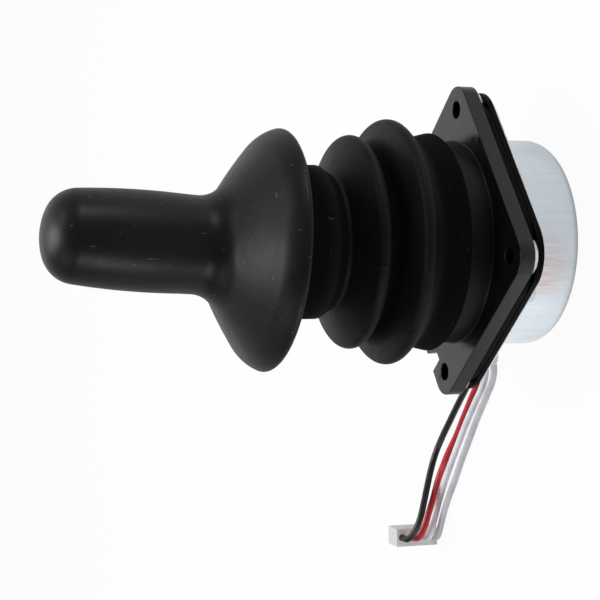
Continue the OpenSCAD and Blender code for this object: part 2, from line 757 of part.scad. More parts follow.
module wire_grommet() {
    color([0.1, 0.1, 0.1]) difference() {
        union() {
            exit_block(0, can_in_r - grommet_lip, 2 * grommet_lip);
            intersection() {
                exit_block(grommet_lip, can_in_r - 4, 4);
                difference() {
                    cylinder(r = can_in_r, h = can_depth);
                    translate([0, 0, -1]) cylinder(r = can_in_r - grommet_lip, h = can_depth + 2);
                }
            }
            intersection() {
                exit_block(grommet_lip, can_r - 3, 5);
                difference() {
                    cylinder(r = can_r + grommet_lip, h = can_depth);
                    translate([0, 0, -1]) cylinder(r = can_r, h = can_depth + 2);
                }
            }
        }
        wire_bores(wire_r + wire_gap, can_in_r - 5, 10);
    }
}

module wire_black() {
    color([0.08, 0.08, 0.08]) tube(black_route, wire_r);
}

module wire_red() {
    color([0.7, 0.12, 0.1]) tube(red_route, wire_r);
}

module wire_white() {
    color([0.92, 0.92, 0.9]) tube(white_route, wire_r);
}

module wire_grey() {
    color([0.5, 0.5, 0.5]) tube(grey_route, wire_r);
}

// Puts its children at each way of the connector, +X along the way
module at_plug() {
    translate([plug_at[0], plug_at[1], 0]) rotate([0, 0, plug_turn])
        for (i = [0:3])
            translate([0, 0, plug_first + i * plug_pitch]) children();
}

module connector_housing() {
    slot = contact_w + 2 * contact_gap;
    color([0.95, 0.95, 0.93]) difference() {
        translate([plug_at[0], plug_at[1], 0]) rotate([0, 0, plug_turn])
            translate([0, -plug_t / 2, 0]) cube([plug_l, plug_t, plug_row]);
        at_plug() {
            translate([-1, 0, 0]) rotate([0, 90, 0]) cylinder(r = wire_r + wire_gap, h = plug_bore + 1);
            translate([plug_bore - eps, -slot / 2, -slot / 2]) cube([plug_l, slot, slot]);
            translate([latch_at, 0, -slot / 3]) cube([latch_l, plug_t, slot * 2 / 3]);
        }
    }
}

module crimp_contacts() {
    color([0.75, 0.6, 0.3]) at_plug() translate([plug_bore, -contact_w / 2, -contact_w / 2])
        cube([contact_l, contact_w, contact_w]);
}

can();
rear_frame();
flange_gasket();
corner_spacers();
front_plate();
flange_screws();
gimbal_housing();
housing_screws();
housing_bushes();
gimbal_ring();
ring_pins();
ring_bushes();
lever_hub();
lever_pin();
lever_shaft();
magnet_holder();
sensor_magnet();
gaiter_collar();
collar_clip();
spring_washer();
centring_spring();
gaiter();
knob_core();
knob();
sensor_board();
board_screws();
hall_sensors();
signal_chip();
wire_header();
wire_grommet();
wire_black();
wire_red();
wire_white();
wire_grey();
connector_housing();
crimp_contacts();
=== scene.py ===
"""Looks of the wheelchair joystick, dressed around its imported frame.

Sizes are in millimetres and angles in degrees; the camera and the studio are in metres and watts.
"""

import json
import math

import bmesh
import bpy
from mathutils import Matrix, Vector


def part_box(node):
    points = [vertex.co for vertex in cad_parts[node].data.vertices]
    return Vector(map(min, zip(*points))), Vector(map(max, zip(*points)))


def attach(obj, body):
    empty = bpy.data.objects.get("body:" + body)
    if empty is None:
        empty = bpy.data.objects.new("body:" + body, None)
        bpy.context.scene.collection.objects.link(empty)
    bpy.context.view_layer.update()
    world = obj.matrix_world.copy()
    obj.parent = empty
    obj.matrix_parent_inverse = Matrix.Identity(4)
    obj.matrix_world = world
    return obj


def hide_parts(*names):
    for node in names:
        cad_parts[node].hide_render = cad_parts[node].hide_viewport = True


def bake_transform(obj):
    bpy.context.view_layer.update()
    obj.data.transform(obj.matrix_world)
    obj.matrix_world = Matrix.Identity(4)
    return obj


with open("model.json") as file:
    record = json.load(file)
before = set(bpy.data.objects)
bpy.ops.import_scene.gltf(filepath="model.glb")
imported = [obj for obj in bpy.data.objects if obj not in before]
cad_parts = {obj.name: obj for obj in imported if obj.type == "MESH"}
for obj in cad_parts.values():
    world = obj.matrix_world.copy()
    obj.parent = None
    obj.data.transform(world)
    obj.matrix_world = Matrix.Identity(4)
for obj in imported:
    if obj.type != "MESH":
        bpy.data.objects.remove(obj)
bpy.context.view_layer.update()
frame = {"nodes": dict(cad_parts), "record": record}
nodes = frame["nodes"]
scene = bpy.context.scene
MM = 0.001

# Camera at the photograph's viewing angle, rolled so that the lever points left
CAMERA_AT = Vector((0.249895, -0.205005, 0.167043))
CAMERA_UP = Vector((0.609463, 0.792739, -0.010965))
CAMERA_BACK = Vector((0.749013, -0.571202, 0.33572))
CAMERA_LENS = 103.87
CAMERA_SENSOR = 36
CAMERA_CLIP = 0.01

# Level directions: towards the camera, and up the picture
TOWARDS = Vector((CAMERA_BACK.x, CAMERA_BACK.y, 0)).normalized()
ASIDE = Vector((-TOWARDS.y, TOWARDS.x, 0))


def span(node):
    """Lowest and highest corner of a CAD node."""
    low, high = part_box(node)
    return low / MM, high / MM


def polar(centre, r, angle):
    """The point at a distance and an angle from a centre."""
    turn = math.radians(angle)
    return centre[0] + r * math.cos(turn), centre[1] + r * math.sin(turn)


# Sizes read from the frame
plate_low, plate_high = span("front_plate")
seal_low, seal_high = span("flange_gasket")
rear_low, rear_high = span("rear_frame")
spring_low, spring_high = span("centring_spring")
core_high = span("knob_core")[1]
core_r = core_high.x
can_top = span("can")[1].z
half_side = plate_high.x
plate_z = plate_low.z
boss_top = plate_high.z

# Plate, and the boss that laps over the plate's opening
hole_pitch = 38
hole_r = 1.8
corner_r = half_side - hole_pitch / 2
plate_t = 3.2
plate_edge = 0.14
face_z = plate_z + plate_t
notch_depth = 4
notch_w = 1.8
notch_at = 14.5
notch_slant = 2.6
boss_r = 20.45
boss_wall = 3.4
boss_edge = 0.4
boss_fillet = 0.3
boss_lap = 0.8
boss_sink = 0.6
boss_foot = 0.3
lid_t = 1.4
lid_hole_r = 9.36

# Seal, frame and spacers behind the plate
seal_cut = 2.6
seal_edge = 0.18
rear_cut = 1.2
rear_edge = 0.2
spacer_r = 3.6
spacer_edge = 0.15
flange_screw = (10.45, 21.25)
flange_screw_r = 1.15

# Can with its flange, and the warm bloom on its plating
can_r = 20.95
can_wall = 0.5
can_edge_r = 3
can_bend_r = 0.6
can_bend_at = can_top - 2 * can_wall
can_rim = can_top - 0.05
flange_cut = 1.8
flange_inset = 0.4
flange_edge = 0.12
bloom_at = (12.3, -16.9, 10)
bloom_r = 9.5
BLOOM_COLOUR = (0.72, 0.5, 0.45)

# Gaiter, heights above the plate face
gaiter_wall = 1.6
fold_wall = 1.2
foot_at = 5.3
foot_edge = (0.3, 0.4)
foot_lap = 1
fold_low_at = 14.8
fold_low_r = boss_r + 4.2
fold_low_arc = (-44, 76)
fold_high_at = 22.6
fold_high_r = boss_r + 0.9
fold_high_arc = (-60, 66)
crest_round = 1.4
valley_round = 2.5
valley_at = (boss_r + 3.21, fold_low_at - 5.13)
valley_arc = (193.6, 135.4)
valley_inside = (135, 180)
groove_round = 0.8
groove_at = (fold_high_r - 4.1, fold_low_at + 3.9)
groove_low_arc = (256, 180)
groove_high_arc = (180, 128)
neck_r = 15.3
neck_at = 30
neck_edge = 0.7
neck_arc = (-50, 0)
throat_at = (neck_r - neck_edge, fold_high_at + 4.8)
throat_arc = (246, 128)
mouth_r = 10.4
mouth_edge = 1
gaiter_top = 39.6
gaiter_seat = gaiter_top - gaiter_wall + 0.15
bend_gap = 0.5

# Moulding seam down the gaiter
seam_az = -52
seam_h = 0.1
seam_w = 0.35
seam_split = 6
seam_steps = 9

# Coil spring
spring_wire = 1.2
spring_foot_r = lid_hole_r + 1.6
spring_top_r = 8
spring_turns = 7
spring_bend = 30.5
spring_flat = 0.06
turn_steps = 18

# Knob, heights above the plate face
knob_top = 84.5
rim_r = 24
rim_at = 39.1
rim_edge = 0.8
rim_under = -80
rim_turn = 20
skirt_round = 8.4
skirt_slope = 55.8
skirt_wall = 2.4
skirt_bulge = 0.12
lip_r = rim_r - 3.6
lip_edge = 0.5
lip_arc = (200, 270)
lip_low = rim_at - 0.2
lip_high = rim_at + 2
grip_r = 9.85
grip_round = 150
grip_at = knob_top - 20.5
grip_start = -2.6
grip_end = 5.4
flare_r = 6.5
flare_at = (grip_r - 0.2 + flare_r, rim_at + 15.36)
hollow_r = grip_r + 4.35
hollow_step = 1
shoulder_round = 6.5
shoulder_at = polar((grip_r - grip_round, grip_at), grip_round - shoulder_round, grip_end)
shoulder_rise = knob_top - shoulder_at[1]
dome_reach = shoulder_rise ** 2 + shoulder_at[0] ** 2 - shoulder_round ** 2
dome_round = dome_reach / (shoulder_rise - shoulder_round) / 2
dome_start = math.degrees(math.atan2(dome_round - shoulder_rise, shoulder_at[0]))
lean_at = knob_top - 22.6
lean_dir = 50.6
lean_deg = 4

# Wire exit and plug
wire_r = 0.75
exit_turn = 195
exit_pitch = 1.8
exit_z = 6
exit_along = (13.95, 19.95, 23.95)
plug_at = (-81.6, -22.6)
plug_turn = 140
plug_first = 1.4
plug_pitch = 2.5
plug_along = (-1.3, 1.5)

# Wires, points listed along each wire's middle between exit and plug
WIRES = {
    "black": [
        (-28.5, -4.3, 3.9), (-33, -4.5, 2), (-37.6, -4.9, 0.8), (-42.9, -5.5, 0.8), (-49.8, -5.9, 0.8),
        (-56.8, -6.6, 0.9), (-62.3, -7.8, 1.4), (-66.1, -9.8, 2.3), (-68.7, -12.7, 3.4), (-70.5, -16, 4.6),
        (-71.9, -19.4, 5.9), (-73.7, -22.3, 7), (-76.4, -24.1, 8), (-79.1, -24.4, 8.8),
    ],
    "red": [
        (-28, -6.2, 3.8), (-33, -6.8, 1.8), (-37.9, -7.8, 0.8), (-43.9, -8.9, 0.8), (-50.8, -10.1, 0.8),
        (-56.8, -11.2, 0.8), (-61.8, -11.8, 0.9), (-66.1, -13.3, 1.4), (-69, -15.1, 2.1), (-71.4, -17.7, 3),
        (-73.7, -20.5, 4.2), (-76.2, -23, 5.2), (-78.7, -24.3, 6.1),
    ],
    "white": [
        (-27.5, -8.1, 3.6), (-32.5, -9, 1.6), (-37.2, -10, 0.8), (-42.9, -10.8, 0.8), (-49.8, -11.8, 0.8),
        (-56.8, -13.2, 0.8), (-62.8, -14.5, 0.8), (-68, -16, 0.9), (-72.1, -18, 1.3), (-75, -20.5, 2.1),
        (-76.9, -22.9, 3), (-78.9, -24.3, 3.6),
    ],
    "grey": [
        (-26, -10.1, 3.6), (-29.2, -10.9, 1.6), (-32.7, -11.9, 0.8), (-37.8, -13, 0.8), (-43.9, -14, 0.8),
        (-50.8, -15.5, 0.8), (-57.5, -17, 0.8), (-63.1, -18.5, 0.8), (-68.2, -20, 1), (-72.7, -21.9, 1.3),
        (-76.2, -23.7, 1.5), (-78.7, -24.4, 1.5),
    ],
}


# Materials
class Finish:
    """One procedural material, built from noise in object space."""

    SOCKETS = {
        "specular": "Specular IOR Level", "tint": "Specular Tint", "metal": "Metallic",
        "transmission": "Transmission Weight", "ior": "IOR",
    }
    MIX_A, MIX_B, MIX_RESULT = 6, 7, 2
    BAND_UNIT = 0.314

    def __init__(self, name, **fixed):
        self.material = bpy.data.materials.new(name)
        self.material.use_nodes = True
        self.tree = self.material.node_tree
        self.shader = self.tree.nodes["Principled BSDF"]
        self.place = self.add("ShaderNodeTexCoord").outputs["Object"]
        for word, value in fixed.items():
            self.shader.inputs[self.SOCKETS[word]].default_value = value

    def add(self, kind, **values):
        """A new node with these settings."""
        node = self.tree.nodes.new(kind)
        for key, value in values.items():
            setattr(node, key, value)
        return node

    def link(self, source, target):
        """Joins two sockets."""
        self.tree.links.new(source, target)

    def noise(self, size, detail=3, stretch=(1, 1, 1)):
        """Noise whose features are about that many millimetres across."""
        mapping = self.add("ShaderNodeMapping")
        mapping.inputs["Scale"].default_value = stretch
        self.link(self.place, mapping.inputs["Vector"])
        texture = self.add("ShaderNodeTexNoise")
        texture.inputs["Scale"].default_value = 1 / (size * MM)
        texture.inputs["Detail"].default_value = detail
        self.link(mapping.outputs["Vector"], texture.inputs["Vector"])
        return texture.outputs["Fac"]

    def cells(self, apart):
        """Distance to scattered points that are about that many millimetres apart."""
        texture = self.add("ShaderNodeTexVoronoi")
        texture.inputs["Scale"].default_value = 1 / (apart * MM)
        self.link(self.place, texture.inputs["Vector"])
        return texture.outputs["Distance"]

    def near(self, place, reach):
        """One at a point, falling to nothing at that many millimetres from it."""
        distance = self.add("ShaderNodeVectorMath", operation="DISTANCE")
        distance.inputs[1].default_value = Vector(place) * MM
        self.link(self.place, distance.inputs[0])
        fade = self.add("ShaderNodeMapRange", interpolation_type="SMOOTHSTEP")
        fade.inputs["From Max"].default_value = reach * MM
        fade.inputs["To Min"].default_value = 1.0
        fade.inputs["To Max"].default_value = 0.0
        self.link(distance.outputs["Value"], fade.inputs["Value"])
        return fade.outputs["Result"]

    def bands(self, pitch, axis="Z", wobble=1.5):
        """Lines across an axis, that many millimetres apart."""
        texture = self.add("ShaderNodeTexWave", wave_type="BANDS", bands_direction=axis)
        texture.inputs["Scale"].default_value = self.BAND_UNIT / (pitch * MM)
        texture.inputs["Distortion"].default_value = wobble
        self.link(self.place, texture.inputs["Vector"])
        return texture.outputs["Fac"]

    def ramp(self, factor, stops):
        """Tones along a factor: (place, grey or colour) pairs."""
        node = self.add("ShaderNodeValToRGB")
        points = node.color_ramp.elements
        while len(points) < len(stops):
            points.new(0.5)
        for point, (place, tone) in zip(points, stops):
            point.position = place
            rgb = (tone,) * 3 if isinstance(tone, (int, float)) else tone
            point.color = (*rgb, 1)
        self.link(factor, node.inputs["Fac"])
        return node.outputs["Color"]

    def spread(self, noise, low, high):
        """Noise spread between two greys or colours."""
        return self.ramp(noise, [(0.3, low), (0.7, high)])

    def mix(self, factor, a, b, mode="MIX"):
        """Two colours or sockets, mixed by a number or a socket."""
        node = self.add("ShaderNodeMix", data_type="RGBA", blend_type=mode)
        if isinstance(factor, (int, float)):
            node.inputs["Factor"].default_value = factor
        else:
            self.link(factor, node.inputs["Factor"])
        for socket, value in ((node.inputs[self.MIX_A], a), (node.inputs[self.MIX_B], b)):
            if isinstance(value, tuple):
                socket.default_value = (*value, 1)
            else:
                self.link(value, socket)
        return node.outputs[self.MIX_RESULT]

    def colour(self, source):
        """The shader's colour."""
        self.link(source, self.shader.inputs["Base Color"])

    def rough(self, source):
        """The shader's roughness."""
        self.link(source, self.shader.inputs["Roughness"])

    def bump(self, factor, depth, strength=1.0):
        """Raises the surface by up to that many millimetres."""
        node = self.add("ShaderNodeBump")
        node.inputs["Strength"].default_value = strength
        node.inputs["Distance"].default_value = depth * MM
        self.link(factor, node.inputs["Height"])
        normal = self.shader.inputs["Normal"]
        if normal.is_linked:
            self.link(normal.links[0].from_socket, node.inputs["Normal"])
        self.link(node.outputs["Normal"], normal)


# Dust on rubber: specks (distance apart, size as a share of it, strength) and lint (width, stretch, start)
SPECKS = ((2.2, 0.06, 0.8), (4.5, 0.04, 1.0))
LINT = ((0.45, (1, 1, 0.2), 0.83), (0.4, (0.2, 0.2, 1), 0.84))
LINT_EDGE = 0.04
LINT_STRENGTH = 0.5

# Painted shade on rubber where the knob's bell and the lower fold shade it: reach of a shaded place, its
# darker share of the colour, its roughness
PAINTED_SHADE_REACH = 40
PAINTED_SHADE_SHARE = 0.3
PAINTED_SHADE_ROUGH = (1.0, 1.0, 1.0)
# Painted shade on the gaiter: round the neck under the knob's bell, and round the foot band under the lower
# fold
GAITER_PAINTED_SHADE = ((70, 0.23, 0.36), (24, 0.34, 0.41))


def shade(colour, factor):
    """A colour, lighter or darker."""
    return tuple(channel * factor for channel in colour)


def rubber(name, colour, rough, specular, dust, painted_shade=()):
    """Matte moulded rubber with faint bloom, fine grain, dust and lint.

    It has painted shade, a darker colour and a rougher surface, in each shaded place, given by its height on
    the axis and where it starts and is full.
    """
    made = Finish(name, specular=specular, tint=(0.95, 0.95, 1, 1))
    cloud = made.noise(7, detail=5)
    tone = made.spread(cloud, shade(colour, 0.75), shade(colour, 1.25))
    dull = made.spread(made.noise(2.5, detail=4), rough - 0.03, rough + 0.04)
    for height, start, full in painted_shade:
        shade_mask = made.ramp(made.near((0, 0, height), PAINTED_SHADE_REACH), [(start, 0.0), (full, 1.0)])
        # painted shade: a darker colour where the bell or the fold shades the rubber
        tone = made.mix(shade_mask, tone, shade(colour, PAINTED_SHADE_SHARE))
        dull = made.mix(shade_mask, dull, PAINTED_SHADE_ROUGH)
    for apart, size, strength in SPECKS:
        tone = made.mix(made.ramp(made.cells(apart), [(0.0, strength), (size, 0.0)]), tone, dust)
    for width, stretch, start in LINT:
        lint = made.noise(width, detail=0, stretch=stretch)
        tone = made.mix(made.ramp(lint, [(start, 0.0), (start + LINT_EDGE, LINT_STRENGTH)]), tone, dust)
    made.colour(tone)
    made.rough(dull)
    made.bump(made.noise(0.35, detail=2), 0.01)
    made.bump(cloud, 0.02, strength=0.4)
    return made.material


def moulding(name, colour, rough, specular=0.5, grain=0.01):
    """Moulded plastic or coated metal with a fine even grain and faint rub marks."""
    made = Finish(name, specular=specular)
    made.colour(made.spread(made.noise(5, detail=4), shade(colour, 0.85), shade(colour, 1.15)))
    made.rough(made.spread(made.noise(1.2, detail=5), rough - 0.05, rough + 0.07))
    made.bump(made.noise(0.25, detail=2), grain)
    return made.material


def drawn_sheet(name, colour):
    """Zinc-plated drawn sheet: lengthwise draw marks, cloudy plating and a warm, streaky bloom."""
    made = Finish(name, metal=1.0)
    cloud = made.noise(9, detail=4)
    marks = made.noise(0.7, detail=4, stretch=(1, 1, 0.05))
    tone = made.spread(cloud, shade(colour, 0.94), shade(colour, 1.04))
    lines = made.ramp(made.noise(0.5, detail=2, stretch=(1, 1, 0.08)), [(0.38, 0.4), (0.62, 1.0)])
    bloom = made.mix(1.0, made.near(bloom_at, bloom_r), lines, "MULTIPLY")
    tone = made.mix(bloom, tone, BLOOM_COLOUR)
    streak = made.ramp(marks, [(0.35, 0.96), (0.6, 1.0)])
    made.colour(made.mix(1.0, tone, streak, "MULTIPLY"))
    made.rough(made.spread(made.noise(3, detail=5, stretch=(1, 1, 0.2)), 0.15, 0.27))
    made.bump(marks, 0.003)
    made.bump(cloud, 0.03, strength=0.4)
    return made.material


def turned_metal(name, colour, rough, pitch=0.18, axis="Z"):
    """Machined or drawn metal with fine tool lines across an axis."""
    made = Finish(name, metal=1.0)
    made.colour(made.spread(made.noise(2.5, detail=4), shade(colour, 0.86), shade(colour, 1.08)))
    made.rough(made.spread(made.noise(0.8), rough - 0.06, rough + 0.08))
    made.bump(made.bands(pitch, axis), 0.004)
    return made.material


def wire_cover(name, colour, rough=0.34):
    """Extruded wire insulation: glossy, with slight waves and handling marks."""
    made = Finish(name, specular=0.45)
    made.colour(made.spread(made.noise(3), shade(colour, 0.88), shade(colour, 1.08)))
    made.rough(made.spread(made.noise(1.5, detail=4), rough - 0.06, rough + 0.1))
    made.bump(made.noise(2.2, detail=2), 0.03)
    return made.material


def clear_nylon(name, colour):
    """Natural nylon of a connector shell: milky, with light passing through."""
    made = Finish(name, specular=0.5, transmission=0.35, ior=1.3)
    made.colour(made.spread(made.noise(2, detail=4), shade(colour, 0.96), colour))
    made.rough(made.spread(made.noise(1, detail=4), 0.25, 0.4))
    made.bump(made.noise(0.3, detail=2), 0.008)
    return made.material


def circuit_board(name, colour):
    """Solder mask over copper tracks."""
    made = Finish(name, specular=0.5)
    tracks = made.ramp(made.bands(1.3, "X", wobble=6), [(0.62, 0.0), (0.68, 0.6)])
    tone = made.spread(made.noise(3), shade(colour, 0.8), shade(colour, 1.1))
    made.colour(made.mix(tracks, tone, shade(colour, 2.0)))
    made.rough(made.spread(made.noise(1), 0.25, 0.4))
    made.bump(tracks, 0.02)
    return made.material


# One finish for each of the record's material slots, and two for pieces that differ from their slot
FINISHES = {
    "rubber_black": rubber("knob_rubber", (0.006, 0.006, 0.0072), 0.41, 0.3, (0.16, 0.16, 0.17)),
    "gaiter_black": rubber("gaiter_rubber", (0.005, 0.005, 0.0053), 0.52, 0.19, (0.07, 0.07, 0.075),
                           GAITER_PAINTED_SHADE),
    "plate_black": moulding("plate_black", (0.006, 0.006, 0.0075), 0.19, 0.42, 0.006),
    "frame_black": moulding("frame_black", (0.002, 0.002, 0.0024), 0.4, 0.05, 0.004),
    "seal_black": moulding("seal_black", (0.002, 0.002, 0.0022), 0.45, 0.05),
    "zinc_sheet": drawn_sheet("zinc_sheet", (0.83, 0.905, 0.965)),
    "zinc_small": turned_metal("zinc_small", (0.7, 0.71, 0.72), 0.28),
    "steel_turned": turned_metal("steel_turned", (0.58, 0.58, 0.6), 0.25),
    "spring_steel": turned_metal("spring_steel", (0.4, 0.4, 0.43), 0.3),
    "nylon_pale": moulding("nylon_pale", (0.7, 0.69, 0.64), 0.45),
    "nylon_dark": moulding("nylon_dark", (0.05, 0.05, 0.055), 0.42),
    "bronze_bush": turned_metal("bronze_bush", (0.6, 0.4, 0.19), 0.4, 0.3, "X"),
    "alloy_ring": turned_metal("alloy_ring", (0.66, 0.66, 0.67), 0.32),
    "magnet_plate": turned_metal("magnet_plate", (0.62, 0.62, 0.64), 0.16),
    "board_green": circuit_board("board_green", (0.02, 0.16, 0.07)),
    "chip_black": moulding("chip_black", (0.02, 0.02, 0.02), 0.5),
    "plug_white": clear_nylon("plug_white", (0.99, 0.985, 0.985)),
    "contact_tin": turned_metal("contact_tin", (0.6, 0.52, 0.36), 0.3),
    "pvc_black": wire_cover("pvc_black", (0.012, 0.012, 0.013)),
    "pvc_red": wire_cover("pvc_red", (0.58, 0.028, 0.045)),
    "pvc_white": wire_cover("pvc_white", (0.93, 0.92, 0.96)),
    "pvc_grey": wire_cover("pvc_grey", (0.62, 0.62, 0.68)),
}
BOSS_FINISH = moulding("boss_black", (0.004, 0.004, 0.0046), 0.42, 0.21, 0.008)
# A pale matte copy of the zinc for the flange and the spacers: its white is a painted highlight on their
# plated edges
ZINC_PAINTED_HIGHLIGHT = moulding("zinc_painted_highlight", (0.95, 0.955, 0.96), 0.4)


def finish_cad_nodes():
    """Every carried-over CAD node takes its slot's finish."""
    for part in frame["record"]["subparts"]:
        slots = nodes[part["node"]].data.materials
        slots.clear()
        slots.append(FINISHES[part["material_slot"]])


# Shapes
TINY = 1e-6
ROUND_SHARP = 32
FLAT_SHARP = 40
WELD = 0.002


def arc(centre, r, start, end, n):
    """Points on an arc in the (r, z) or (x, y) plane."""
    return [polar(centre, r, start + (end - start) * i / n) for i in range(n + 1)]


def circle(x, y, r, n=48):
    """A closed round outline."""
    return arc((x, y), r, 0, 360, n)[:-1]


def azimuths(count, seam):
    """Even directions round the axis, with closer ones beside a seam."""
    even = [360 * i / count for i in range(count)]
    if seam is None:
        return even
    step = 360 / count
    middle = seam % 360
    reach = step * (seam_steps / seam_split + 0.1)
    kept = [a for a in even if min(abs(a - middle), 360 - abs(a - middle)) > reach]
    return sorted(kept + [middle + step * k / seam_split for k in range(-seam_steps, seam_steps + 1)])


def seam_rise(r, azimuth, seam):
    """How far a seam lifts the surface at an azimuth."""
    if seam is None:
        return 0.0
    off = math.radians((azimuth - seam + 180) % 360 - 180) * r
    return seam_h * math.exp(-(off / seam_w) ** 2)


def revolve(name, outline, base=0.0, count=192, seam=None, place=None):
    """A closed solid of revolution about Z from (r, z) points; place moves each finished point."""
    mesh = bmesh.new()
    turns = azimuths(count, seam)
    rings = []
    for r, z in outline:
        ring = []
        for azimuth in turns if r > TINY else turns[:1]:
            x, y = polar((0, 0), r + seam_rise(r, azimuth, seam), azimuth)
            point = Vector((x, y, base + z))
            if place:
                point = place(point, r, z)
            ring.append(mesh.verts.new(point * MM))
        rings.append(ring)
    steps = len(turns)
    for low, high in zip(rings, rings[1:] + rings[:1]):
        for k in range(steps):
            after = (k + 1) % steps
            face = [low[k % len(low)], low[after % len(low)], high[after % len(high)], high[k % len(high)]]
            face = list(dict.fromkeys(face))
            if len(face) > 2:
                mesh.faces.new(face)
    return as_object(name, mesh)


def as_object(name, mesh, sharp=ROUND_SHARP):
    """Turns a bmesh into a shaded object."""
    bmesh.ops.recalc_face_normals(mesh, faces=mesh.faces)
    data = bpy.data.meshes.new(name)
    mesh.to_mesh(data)
    mesh.free()
    data.polygons.foreach_set("use_smooth", [True] * len(data.polygons))
    data.set_sharp_from_angle(angle=math.radians(sharp))
    made = bpy.data.objects.new(name, data)
    scene.collection.objects.link(made)
    return made


def corners():
    """Middles of the four mounting holes."""
    half = hole_pitch / 2
    return [(x, y) for x in (-half, half) for y in (-half, half)]


def square_outline(cut=0.0, notch=False, inset=0.0):
    """The plate's rounded square, whose corners may be cut back, one edge notched and all drawn in."""
    reach = hole_pitch / 2 * math.sqrt(2) + corner_r
    r = (half_side * math.sqrt(2) - reach + cut) / (math.sqrt(2) - 1)
    loop = []
    for quarter in range(4):
        cos, sin = polar((0, 0), 1, 90 * quarter)
        for x, y in arc((half_side - r, half_side - r), r - inset, 0, 90, 24):
            loop.append((x * cos - y * sin, x * sin + y * cos))
        if notch and quarter == 1:
            low, high = notch_at - notch_w / 2, notch_at + notch_w / 2
            loop += [(-half_side, -low + notch_slant), (-half_side + notch_depth, -low),
                     (-half_side + notch_depth, -high), (-half_side, -high)]
    return loop


def meshed(holder):
    """The mesh of a curve object, which is removed."""
    bpy.context.view_layer.update()
    evaluated = holder.evaluated_get(bpy.context.evaluated_depsgraph_get())
    data = bpy.data.meshes.new_from_object(evaluated)
    bpy.data.objects.remove(holder)
    mesh = bmesh.new()
    mesh.from_mesh(data)
    bmesh.ops.remove_doubles(mesh, verts=mesh.verts, dist=WELD * MM)
    bpy.data.meshes.remove(data)
    return mesh


def layer(name, loops, low, high, edge):
    """A flat layer between two heights from closed outlines, with rounded edges and even flat faces."""
    curve = bpy.data.curves.new(name, "CURVE")
    curve.dimensions = "2D"
    curve.fill_mode = "BOTH"
    curve.extrude = ((high - low) / 2 - edge) * MM
    curve.bevel_depth = edge * MM
    curve.bevel_resolution = 2
    curve.offset = -edge * MM
    for loop in loops:
        spline = curve.splines.new("POLY")
        spline.points.add(len(loop) - 1)
        spline.use_cyclic_u = True
        for point, (x, y) in zip(spline.points, loop):
            point.co = (x * MM, y * MM, 0, 1)
    holder = bpy.data.objects.new(name, curve)
    scene.collection.objects.link(holder)
    mesh = meshed(holder)
    bmesh.ops.translate(mesh, verts=mesh.verts, vec=Vector((0, 0, (low + high) / 2 * MM)))
    made = as_object(name, mesh, FLAT_SHARP)
    shading = made.modifiers.new("even_normals", "WEIGHTED_NORMAL")
    shading.keep_sharp = True
    return made


def joined(name, objects):
    """One object from several."""
    mesh = bmesh.new()
    for piece in objects:
        mesh.from_mesh(piece.data)
        bpy.data.objects.remove(piece)
    return as_object(name, mesh, FLAT_SHARP)


def dress(piece, slot, body, node, finish=None):
    """Gives a piece its finish and the body that it rides on, and hides the CAD node that it stands for."""
    piece.data.materials.clear()
    piece.data.materials.append(finish or FINISHES[slot])
    if body:
        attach(piece, body)
    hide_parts(node)
    return piece


def dress_bending(piece, slot, node):
    """Dresses a soft piece that sits across a hinge, on no body, with its placing baked into its mesh."""
    dress(piece, slot, None, node)
    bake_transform(piece)


# Wires and spring
def rod(name, route, r, steps):
    """A round rod along a smooth route, as a curve object."""
    curve = bpy.data.curves.new(name, "CURVE")
    curve.dimensions = "3D"
    curve.bevel_depth = r * MM
    curve.bevel_resolution = 5
    curve.resolution_u = steps
    curve.use_fill_caps = True
    spline = curve.splines.new("BEZIER")
    spline.bezier_points.add(len(route) - 1)
    for point, place in zip(spline.bezier_points, route):
        point.co = Vector(place) * MM
        point.handle_left_type = "AUTO"
        point.handle_right_type = "AUTO"
    made = bpy.data.objects.new(name, curve)
    scene.collection.objects.link(made)
    return made


def whole_route(i, free):
    """A wire's points from inside the can, over its free points, into its way of the plug."""
    last = len(WIRES) - 1
    side = (i - last / 2) * exit_pitch
    out = Vector((*polar((0, 0), 1, exit_turn), 0))
    across = Vector((-out.y, out.x, 0)) * side + Vector((0, 0, exit_z))
    into = Vector((*polar((0, 0), 1, plug_turn), 0))
    way = Vector((*plug_at, plug_first + (last - i) * plug_pitch))
    return [out * d + across for d in exit_along] + free + [way + into * d for d in plug_along]


def make_wires():
    """Four loose wires from the can to the plug."""
    for i, (colour, free) in enumerate(WIRES.items()):
        route = whole_route(i, free)
        lead = dress(rod("lead_" + colour, route, wire_r, 8), "pvc_" + colour, "base", "wire_" + colour)


def coil_route(foot, top):
    """Points along the tapered coil, whose first and last turn lie nearly flat."""
    count = spring_turns * turn_steps
    route = []
    for i in range(count + 1):
        share = i / count
        climb = min(max((share * spring_turns - 1) / (spring_turns - 2), 0), 1)
        r = spring_foot_r + (spring_top_r - spring_foot_r) * climb
        x, y = polar((0, 0), r, 360 * spring_turns * share)
        rise = spring_flat * share + (1 - spring_flat) * climb
        route.append((x, y, foot + (top - foot) * rise))
    return route


def make_spring():
    """Two pieces: the foot coil and the coils above it, split at the bend height."""
    foot, top = spring_low.z + spring_wire / 2, spring_high.z - spring_wire / 2
    coil = coil_route(foot, top)
    below = sum(z < spring_bend for x, y, z in coil)
    halves = {
        "coil_foot": (coil[:below + 1], ("base", "ring"), foot + bend_gap, spring_bend),
        "coil_upper": (coil[below:], ("ring", "lever"), spring_bend, top),
    }
    for name, (route, bodies, start, end) in halves.items():
        piece = as_object(name, meshed(rod(name, route, spring_wire / 2, 3)))
        dress_bending(piece, "spring_steel", "centring_spring")


